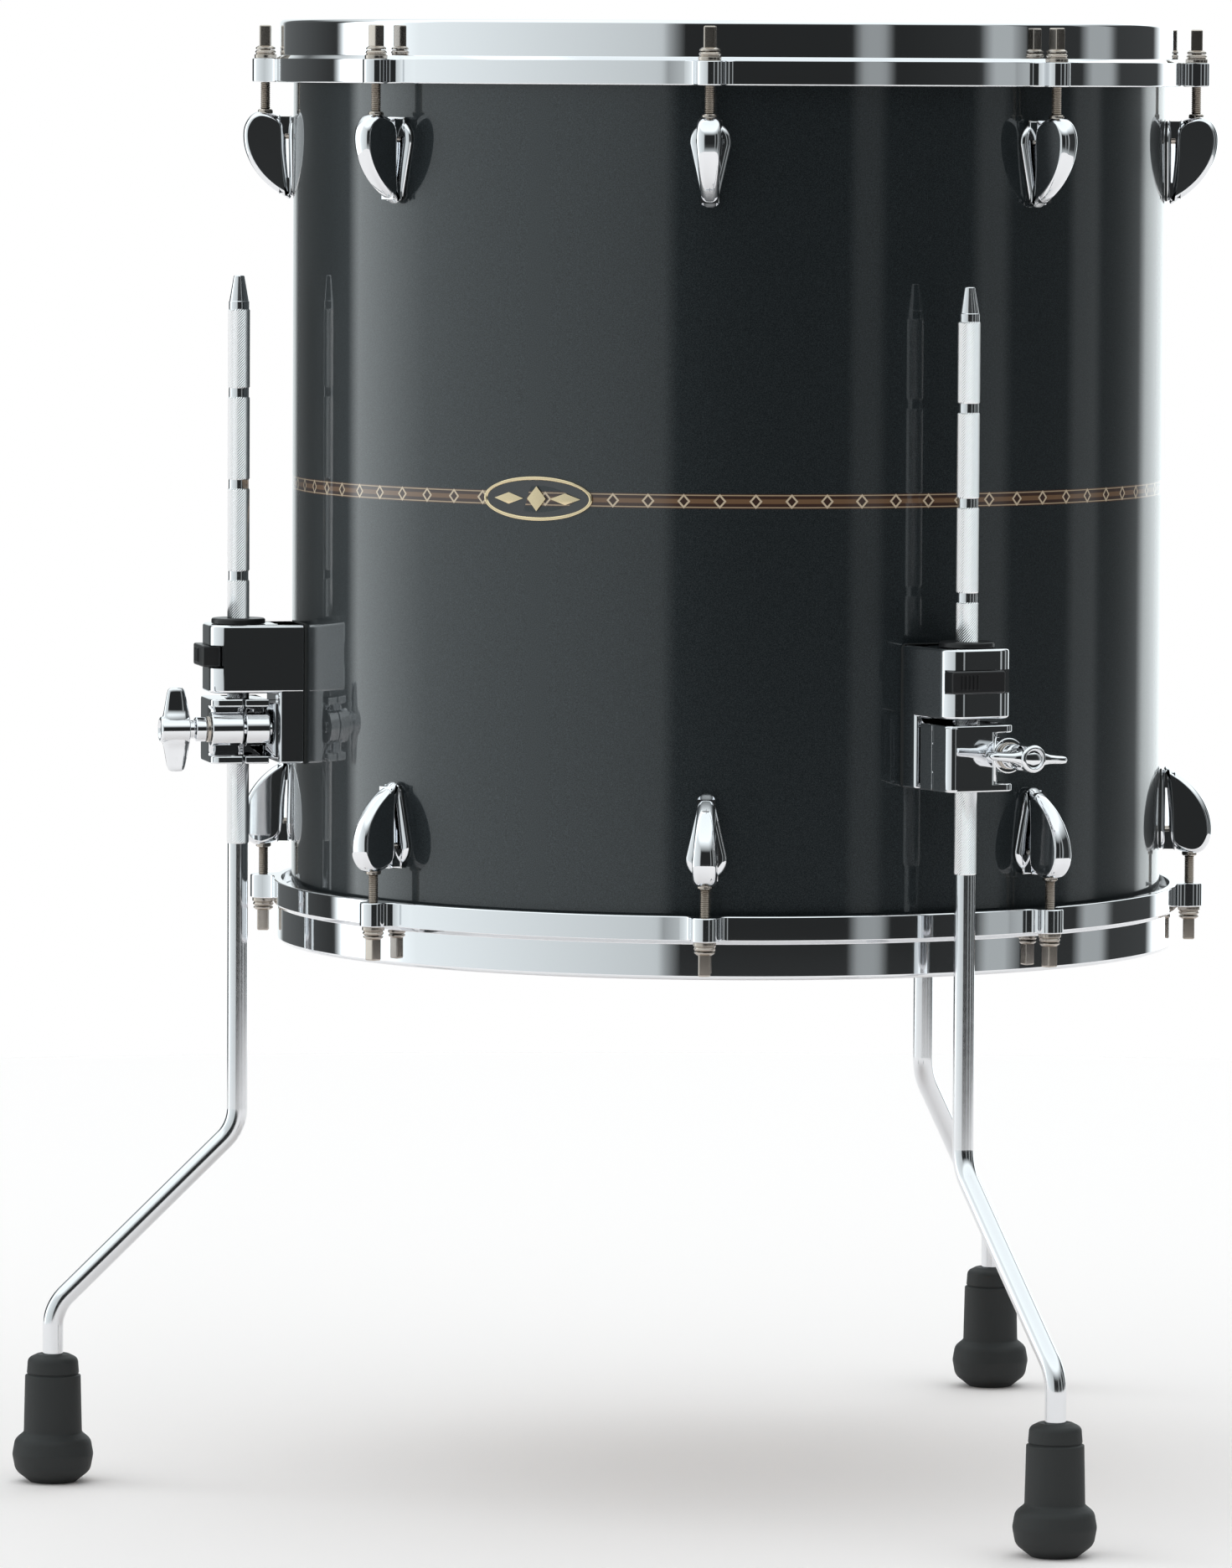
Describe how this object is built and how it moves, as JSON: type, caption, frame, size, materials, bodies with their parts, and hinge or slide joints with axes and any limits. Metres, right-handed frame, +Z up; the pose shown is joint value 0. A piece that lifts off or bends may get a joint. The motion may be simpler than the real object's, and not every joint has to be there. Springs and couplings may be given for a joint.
{
  "type": "floor tom drum",
  "caption": "Floor tom with a lacquered shell, die-cast hoops, bridge lugs and tension rods, on three bent legs clamped in wing-bolt brackets.",
  "frame": {"origin": "on the floor, in the middle of the footprint of the drum and its feet", "axes": "+Z up, along the drum's axis; -Y towards the badge; the third leg stands at +Y"},
  "size_m": [0.5422, 0.5492, 0.677],
  "materials": {
    "shell_lacquer": "dark grey metallic lacquer with gloss clear coat over maple plies",
    "bare_maple": "sanded maple, sealed",
    "inlay": "dark red-brown and beige marquetry under gloss lacquer",
    "badge": "satin plate with a raised rim",
    "bright_chrome": "mirror chrome on die-cast zinc",
    "leg_chrome": "chrome plated steel rod with diamond knurl",
    "plated_steel": "bright nickel plate",
    "coated_film": "white sprayed coating on polyester film",
    "clear_film": "clear polyester film",
    "flesh_hoop": "plain extrusion",
    "black_rubber": "matte moulded",
    "black_plastic": "satin moulded"
  },
  "bodies": {
    "drum": {"shell": "shell_lacquer", "reinforcement_rings": "bare_maple", "inlay_band": "inlay", "badge": "badge", "vent_grommet": "bright_chrome", "batter_head": "coated_film", "resonant_head": "clear_film", "batter_flesh_hoop": "flesh_hoop", "resonant_flesh_hoop": "flesh_hoop", "batter_hoop": "bright_chrome", "resonant_hoop": "bright_chrome", "batter_lugs": "bright_chrome", "resonant_lugs": "bright_chrome", "lug_gaskets": "black_rubber", "lug_screws": "plated_steel", "swivel_nuts": "plated_steel", "tension_rod_washers": "plated_steel", "bracket_gaskets": "black_rubber", "bracket_screws": "plated_steel", "jaw_pins": "plated_steel", "leg_bracket_left": "bright_chrome", "leg_bracket_right": "bright_chrome", "leg_bracket_back": "bright_chrome"},
    "batter_tension_rod_1_body": {"batter_tension_rod_1": "plated_steel"},
    "batter_tension_rod_2_body": {"batter_tension_rod_2": "plated_steel"},
    "batter_tension_rod_3_body": {"batter_tension_rod_3": "plated_steel"},
    "batter_tension_rod_4_body": {"batter_tension_rod_4": "plated_steel"},
    "batter_tension_rod_5_body": {"batter_tension_rod_5": "plated_steel"},
    "batter_tension_rod_6_body": {"batter_tension_rod_6": "plated_steel"},
    "batter_tension_rod_7_body": {"batter_tension_rod_7": "plated_steel"},
    "batter_tension_rod_8_body": {"batter_tension_rod_8": "plated_steel"},
    "resonant_tension_rod_1_body": {"resonant_tension_rod_1": "plated_steel"},
    "resonant_tension_rod_2_body": {"resonant_tension_rod_2": "plated_steel"},
    "resonant_tension_rod_3_body": {"resonant_tension_rod_3": "plated_steel"},
    "resonant_tension_rod_4_body": {"resonant_tension_rod_4": "plated_steel"},
    "resonant_tension_rod_5_body": {"resonant_tension_rod_5": "plated_steel"},
    "resonant_tension_rod_6_body": {"resonant_tension_rod_6": "plated_steel"},
    "resonant_tension_rod_7_body": {"resonant_tension_rod_7": "plated_steel"},
    "resonant_tension_rod_8_body": {"resonant_tension_rod_8": "plated_steel"},
    "bush_left": {"leg_bush_left": "black_plastic"},
    "leg_and_foot_left": {"leg_left": "leg_chrome", "leg_foot_left": "black_rubber"},
    "lock_left": {"lock_slider_left": "black_plastic"},
    "jaw_left": {"clamp_jaw_left": "bright_chrome"},
    "washer_left": {"clamp_washer_left": "plated_steel"},
    "wing_left": {"wing_bolt_left": "bright_chrome"},
    "bush_right": {"leg_bush_right": "black_plastic"},
    "leg_and_foot_right": {"leg_right": "leg_chrome", "leg_foot_right": "black_rubber"},
    "lock_right": {"lock_slider_right": "black_plastic"},
    "jaw_right": {"clamp_jaw_right": "bright_chrome"},
    "washer_right": {"clamp_washer_right": "plated_steel"},
    "wing_right": {"wing_bolt_right": "bright_chrome"},
    "bush_back": {"leg_bush_back": "black_plastic"},
    "leg_and_foot_back": {"leg_back": "leg_chrome", "leg_foot_back": "black_rubber"},
    "lock_back": {"lock_slider_back": "black_plastic"},
    "jaw_back": {"clamp_jaw_back": "bright_chrome"},
    "washer_back": {"clamp_washer_back": "plated_steel"},
    "wing_back": {"wing_bolt_back": "bright_chrome"}
  },
  "joints": [
    {"name": "batter_rod_1_turn", "type": "hinge", "parent": "drum", "child": "batter_tension_rod_1_body", "pos_m": [0.08308, -0.26278, 0.64], "axis": [0, 0, 1], "continuous": true},
    {"name": "batter_rod_2_turn", "type": "hinge", "parent": "drum", "child": "batter_tension_rod_2_body", "pos_m": [0.20057, -0.14529, 0.64], "axis": [0, 0, 1], "continuous": true},
    {"name": "batter_rod_3_turn", "type": "hinge", "parent": "drum", "child": "batter_tension_rod_3_body", "pos_m": [0.20057, 0.02087, 0.64], "axis": [0, 0, 1], "continuous": true},
    {"name": "batter_rod_4_turn", "type": "hinge", "parent": "drum", "child": "batter_tension_rod_4_body", "pos_m": [0.08308, 0.13837, 0.64], "axis": [0, 0, 1], "continuous": true},
    {"name": "batter_rod_5_turn", "type": "hinge", "parent": "drum", "child": "batter_tension_rod_5_body", "pos_m": [-0.08308, 0.13837, 0.64], "axis": [0, 0, 1], "continuous": true},
    {"name": "batter_rod_6_turn", "type": "hinge", "parent": "drum", "child": "batter_tension_rod_6_body", "pos_m": [-0.20057, 0.02087, 0.64], "axis": [0, 0, 1], "continuous": true},
    {"name": "batter_rod_7_turn", "type": "hinge", "parent": "drum", "child": "batter_tension_rod_7_body", "pos_m": [-0.20057, -0.14529, 0.64], "axis": [0, 0, 1], "continuous": true},
    {"name": "batter_rod_8_turn", "type": "hinge", "parent": "drum", "child": "batter_tension_rod_8_body", "pos_m": [-0.08308, -0.26278, 0.64], "axis": [0, 0, 1], "continuous": true},
    {"name": "resonant_rod_1_turn", "type": "hinge", "parent": "drum", "child": "resonant_tension_rod_1_body", "pos_m": [0.08308, -0.26278, 0.285], "axis": [0, 0, 1], "continuous": true},
    {"name": "resonant_rod_2_turn", "type": "hinge", "parent": "drum", "child": "resonant_tension_rod_2_body", "pos_m": [0.20057, -0.14529, 0.285], "axis": [0, 0, 1], "continuous": true},
    {"name": "resonant_rod_3_turn", "type": "hinge", "parent": "drum", "child": "resonant_tension_rod_3_body", "pos_m": [0.20057, 0.02087, 0.285], "axis": [0, 0, 1], "continuous": true},
    {"name": "resonant_rod_4_turn", "type": "hinge", "parent": "drum", "child": "resonant_tension_rod_4_body", "pos_m": [0.08308, 0.13837, 0.285], "axis": [0, 0, 1], "continuous": true},
    {"name": "resonant_rod_5_turn", "type": "hinge", "parent": "drum", "child": "resonant_tension_rod_5_body", "pos_m": [-0.08308, 0.13837, 0.285], "axis": [0, 0, 1], "continuous": true},
    {"name": "resonant_rod_6_turn", "type": "hinge", "parent": "drum", "child": "resonant_tension_rod_6_body", "pos_m": [-0.20057, 0.02087, 0.285], "axis": [0, 0, 1], "continuous": true},
    {"name": "resonant_rod_7_turn", "type": "hinge", "parent": "drum", "child": "resonant_tension_rod_7_body", "pos_m": [-0.20057, -0.14529, 0.285], "axis": [0, 0, 1], "continuous": true},
    {"name": "resonant_rod_8_turn", "type": "hinge", "parent": "drum", "child": "resonant_tension_rod_8_body", "pos_m": [-0.08308, -0.26278, 0.285], "axis": [0, 0, 1], "continuous": true},
    {"name": "leg_left_turn", "type": "hinge", "parent": "drum", "child": "bush_left", "pos_m": [-0.18382, -0.20326, 0.398], "axis": [0, 0, 1], "range_deg": [-75, 75]},
    {"name": "leg_left_height", "type": "slide", "parent": "bush_left", "child": "leg_and_foot_left", "axis": [0, 0, 1], "range_m": [-0.15, 0.12]},
    {"name": "lock_left_slide", "type": "slide", "parent": "drum", "child": "lock_left", "axis": [0.6088, -0.7934, 0], "range_m": [0, 0.007]},
    {"name": "jaw_left_open", "type": "hinge", "parent": "drum", "child": "jaw_left", "pos_m": [-0.19143, -0.19334, 0.349], "axis": [0, 0, -1], "range_deg": [0, 7.5]},
    {"name": "wing_left_travel", "type": "slide", "parent": "drum", "child": "washer_left", "axis": [-0.7934, -0.6088, 0], "range_m": [0, 0.0045]},
    {"name": "wing_left_turn", "type": "hinge", "parent": "washer_left", "child": "wing_left", "pos_m": [-0.1994, -0.23223, 0.35], "axis": [-0.7934, -0.6088, 0], "range_deg": [0, 1080]},
    {"name": "leg_right_turn", "type": "hinge", "parent": "drum", "child": "bush_right", "pos_m": [0.18382, -0.20326, 0.398], "axis": [0, 0, 1], "range_deg": [-75, 75]},
    {"name": "leg_right_height", "type": "slide", "parent": "bush_right", "child": "leg_and_foot_right", "axis": [0, 0, 1], "range_m": [-0.15, 0.12]},
    {"name": "lock_right_slide", "type": "slide", "parent": "drum", "child": "lock_right", "axis": [0.6088, 0.7934, 0], "range_m": [0, 0.007]},
    {"name": "jaw_right_open", "type": "hinge", "parent": "drum", "child": "jaw_right", "pos_m": [0.17621, -0.21317, 0.349], "axis": [0, 0, -1], "range_deg": [0, 7.5]},
    {"name": "wing_right_travel", "type": "slide", "parent": "drum", "child": "washer_right", "axis": [0.7934, -0.6088, 0], "range_m": [0, 0.0045]},
    {"name": "wing_right_turn", "type": "hinge", "parent": "washer_right", "child": "wing_right", "pos_m": [0.21584, -0.21081, 0.35], "axis": [0.7934, -0.6088, 0], "range_deg": [0, 1080]},
    {"name": "leg_back_turn", "type": "hinge", "parent": "drum", "child": "bush_back", "pos_m": [0, 0.16949, 0.398], "axis": [0, 0, 1], "range_deg": [-75, 75]},
    {"name": "leg_back_height", "type": "slide", "parent": "bush_back", "child": "leg_and_foot_back", "axis": [0, 0, 1], "range_m": [-0.15, 0.12]},
    {"name": "lock_back_slide", "type": "slide", "parent": "drum", "child": "lock_back", "axis": [-1, 0, 0], "range_m": [0, 0.007]},
    {"name": "jaw_back_open", "type": "hinge", "parent": "drum", "child": "jaw_back", "pos_m": [0.0125, 0.16949, 0.349], "axis": [0, 0, -1], "range_deg": [0, 7.5]},
    {"name": "wing_back_travel", "type": "slide", "parent": "drum", "child": "washer_back", "axis": [0, 1, 0], "range_m": [0, 0.0045]},
    {"name": "wing_back_turn", "type": "hinge", "parent": "washer_back", "child": "wing_back", "pos_m": [-0.0135, 0.19949, 0.35], "axis": [0, 1, 0], "range_deg": [0, 1080]}
  ],
  "couplings": [
    {"joint": "wing_left_turn", "follows": "wing_left_travel", "rad_per_m": 4188.8},
    {"joint": "jaw_left_open", "follows": "wing_left_travel", "rad_per_m": 29.088},
    {"joint": "wing_right_turn", "follows": "wing_right_travel", "rad_per_m": 4188.8},
    {"joint": "jaw_right_open", "follows": "wing_right_travel", "rad_per_m": 29.088},
    {"joint": "wing_back_turn", "follows": "wing_back_travel", "rad_per_m": 4188.8},
    {"joint": "jaw_back_open", "follows": "wing_back_travel", "rad_per_m": 29.088}
  ]
}
